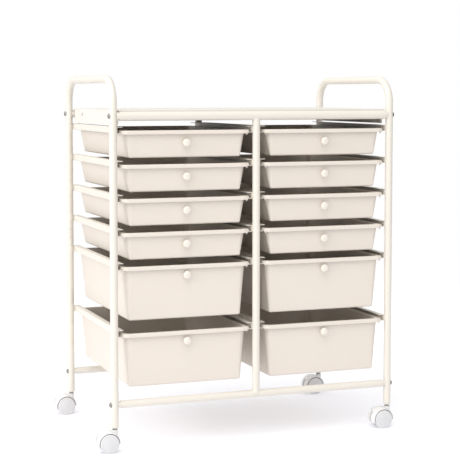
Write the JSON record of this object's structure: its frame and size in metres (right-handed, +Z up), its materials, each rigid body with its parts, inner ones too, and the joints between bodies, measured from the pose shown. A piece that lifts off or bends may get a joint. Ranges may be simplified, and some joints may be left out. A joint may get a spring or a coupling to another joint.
{
  "type": "rolling drawer cart",
  "caption": "Steel-tube drawer cart on swivelling twin-wheel casters, with columns of pull-out moulded drawers, side handles and a top shelf.",
  "frame": {"origin": "on the floor, under the middle of the whole cart's box", "axes": "+Z up, -Y out of the drawers' fronts, +X to the right seen from the front"},
  "size_m": [0.6701, 0.4074, 0.7677],
  "materials": {
    "frame_paint": "satin powder coat",
    "drawer_plastic": "moulded, fine satin",
    "shelf_plastic": "moulded, fine satin",
    "knob_plastic": "polished",
    "fitting_plastic": "moulded",
    "caster_plastic": "moulded",
    "wheel_plastic": "moulded",
    "steel": "zinc plated"
  },
  "bodies": {
    "frame": {"left_front_post": "frame_paint", "right_front_post": "frame_paint", "left_back_post": "frame_paint", "right_back_post": "frame_paint", "center_front_post": "frame_paint", "center_back_post": "frame_paint", "left_handle": "frame_paint", "right_handle": "frame_paint", "left_rails": "frame_paint", "center_rails": "frame_paint", "right_rails": "frame_paint", "front_top_bar": "frame_paint", "back_top_bar": "frame_paint", "front_bottom_bar": "frame_paint", "back_bottom_bar": "frame_paint", "top_shelf": "shelf_plastic", "bar_saddles": "fitting_plastic", "frame_bolts": "steel", "post_sockets": "fitting_plastic", "caster_stems": "steel"},
    "left_drawer_1": {"left_drawer_1": "drawer_plastic", "left_knob_1": "knob_plastic"},
    "left_drawer_2": {"left_drawer_2": "drawer_plastic", "left_knob_2": "knob_plastic"},
    "left_drawer_3": {"left_drawer_3": "drawer_plastic", "left_knob_3": "knob_plastic"},
    "left_drawer_4": {"left_drawer_4": "drawer_plastic", "left_knob_4": "knob_plastic"},
    "left_drawer_5": {"left_drawer_5": "drawer_plastic", "left_knob_5": "knob_plastic"},
    "left_drawer_6": {"left_drawer_6": "drawer_plastic", "left_knob_6": "knob_plastic"},
    "right_drawer_1": {"right_drawer_1": "drawer_plastic", "right_knob_1": "knob_plastic"},
    "right_drawer_2": {"right_drawer_2": "drawer_plastic", "right_knob_2": "knob_plastic"},
    "right_drawer_3": {"right_drawer_3": "drawer_plastic", "right_knob_3": "knob_plastic"},
    "right_drawer_4": {"right_drawer_4": "drawer_plastic", "right_knob_4": "knob_plastic"},
    "right_drawer_5": {"right_drawer_5": "drawer_plastic", "right_knob_5": "knob_plastic"},
    "right_drawer_6": {"right_drawer_6": "drawer_plastic", "right_knob_6": "knob_plastic"},
    "left_front_caster": {"left_front_caster_hood": "caster_plastic", "left_front_axle": "steel"},
    "left_front_outer_wheel": {"left_front_outer_wheel": "wheel_plastic"},
    "left_front_inner_wheel": {"left_front_inner_wheel": "wheel_plastic"},
    "right_front_caster": {"right_front_caster_hood": "caster_plastic", "right_front_axle": "steel"},
    "right_front_outer_wheel": {"right_front_outer_wheel": "wheel_plastic"},
    "right_front_inner_wheel": {"right_front_inner_wheel": "wheel_plastic"},
    "left_back_caster": {"left_back_caster_hood": "caster_plastic", "left_back_axle": "steel"},
    "left_back_outer_wheel": {"left_back_outer_wheel": "wheel_plastic"},
    "left_back_inner_wheel": {"left_back_inner_wheel": "wheel_plastic"},
    "right_back_caster": {"right_back_caster_hood": "caster_plastic", "right_back_axle": "steel"},
    "right_back_outer_wheel": {"right_back_outer_wheel": "wheel_plastic"},
    "right_back_inner_wheel": {"right_back_inner_wheel": "wheel_plastic"}
  },
  "joints": [
    {"name": "left_drawer_1_slide", "type": "slide", "parent": "frame", "child": "left_drawer_1", "axis": [0, -1, 0], "range_m": [0, 0.28]},
    {"name": "left_drawer_2_slide", "type": "slide", "parent": "frame", "child": "left_drawer_2", "axis": [0, -1, 0], "range_m": [0, 0.28]},
    {"name": "left_drawer_3_slide", "type": "slide", "parent": "frame", "child": "left_drawer_3", "axis": [0, -1, 0], "range_m": [0, 0.28]},
    {"name": "left_drawer_4_slide", "type": "slide", "parent": "frame", "child": "left_drawer_4", "axis": [0, -1, 0], "range_m": [0, 0.28]},
    {"name": "left_drawer_5_slide", "type": "slide", "parent": "frame", "child": "left_drawer_5", "axis": [0, -1, 0], "range_m": [0, 0.28]},
    {"name": "left_drawer_6_slide", "type": "slide", "parent": "frame", "child": "left_drawer_6", "axis": [0, -1, 0], "range_m": [0, 0.28]},
    {"name": "right_drawer_1_slide", "type": "slide", "parent": "frame", "child": "right_drawer_1", "axis": [0, -1, 0], "range_m": [0, 0.28]},
    {"name": "right_drawer_2_slide", "type": "slide", "parent": "frame", "child": "right_drawer_2", "axis": [0, -1, 0], "range_m": [0, 0.28]},
    {"name": "right_drawer_3_slide", "type": "slide", "parent": "frame", "child": "right_drawer_3", "axis": [0, -1, 0], "range_m": [0, 0.28]},
    {"name": "right_drawer_4_slide", "type": "slide", "parent": "frame", "child": "right_drawer_4", "axis": [0, -1, 0], "range_m": [0, 0.28]},
    {"name": "right_drawer_5_slide", "type": "slide", "parent": "frame", "child": "right_drawer_5", "axis": [0, -1, 0], "range_m": [0, 0.28]},
    {"name": "right_drawer_6_slide", "type": "slide", "parent": "frame", "child": "right_drawer_6", "axis": [0, -1, 0], "range_m": [0, 0.28]},
    {"name": "left_front_swivel", "type": "hinge", "parent": "frame", "child": "left_front_caster", "pos_m": [-0.29465, -0.1835, 0.044], "axis": [0, 0, 1], "continuous": true},
    {"name": "left_front_outer_wheel_roll", "type": "hinge", "parent": "left_front_caster", "child": "left_front_outer_wheel", "pos_m": [-0.30965, -0.1835, 0.02], "axis": [0, 1, 0], "continuous": true},
    {"name": "left_front_inner_wheel_roll", "type": "hinge", "parent": "left_front_caster", "child": "left_front_inner_wheel", "pos_m": [-0.30965, -0.1835, 0.02], "axis": [0, 1, 0], "continuous": true},
    {"name": "right_front_swivel", "type": "hinge", "parent": "frame", "child": "right_front_caster", "pos_m": [0.32435, -0.1835, 0.044], "axis": [0, 0, 1], "continuous": true},
    {"name": "right_front_outer_wheel_roll", "type": "hinge", "parent": "right_front_caster", "child": "right_front_outer_wheel", "pos_m": [0.30935, -0.1835, 0.02], "axis": [0, 1, 0], "continuous": true},
    {"name": "right_front_inner_wheel_roll", "type": "hinge", "parent": "right_front_caster", "child": "right_front_inner_wheel", "pos_m": [0.30935, -0.1835, 0.02], "axis": [0, 1, 0], "continuous": true},
    {"name": "left_back_swivel", "type": "hinge", "parent": "frame", "child": "left_back_caster", "pos_m": [-0.29465, 0.1835, 0.044], "axis": [0, 0, 1], "continuous": true},
    {"name": "left_back_outer_wheel_roll", "type": "hinge", "parent": "left_back_caster", "child": "left_back_outer_wheel", "pos_m": [-0.30965, 0.1835, 0.02], "axis": [0, 1, 0], "continuous": true},
    {"name": "left_back_inner_wheel_roll", "type": "hinge", "parent": "left_back_caster", "child": "left_back_inner_wheel", "pos_m": [-0.30965, 0.1835, 0.02], "axis": [0, 1, 0], "continuous": true},
    {"name": "right_back_swivel", "type": "hinge", "parent": "frame", "child": "right_back_caster", "pos_m": [0.32435, 0.1835, 0.044], "axis": [0, 0, 1], "continuous": true},
    {"name": "right_back_outer_wheel_roll", "type": "hinge", "parent": "right_back_caster", "child": "right_back_outer_wheel", "pos_m": [0.30935, 0.1835, 0.02], "axis": [0, 1, 0], "continuous": true},
    {"name": "right_back_inner_wheel_roll", "type": "hinge", "parent": "right_back_caster", "child": "right_back_inner_wheel", "pos_m": [0.30935, 0.1835, 0.02], "axis": [0, 1, 0], "continuous": true}
  ]
}
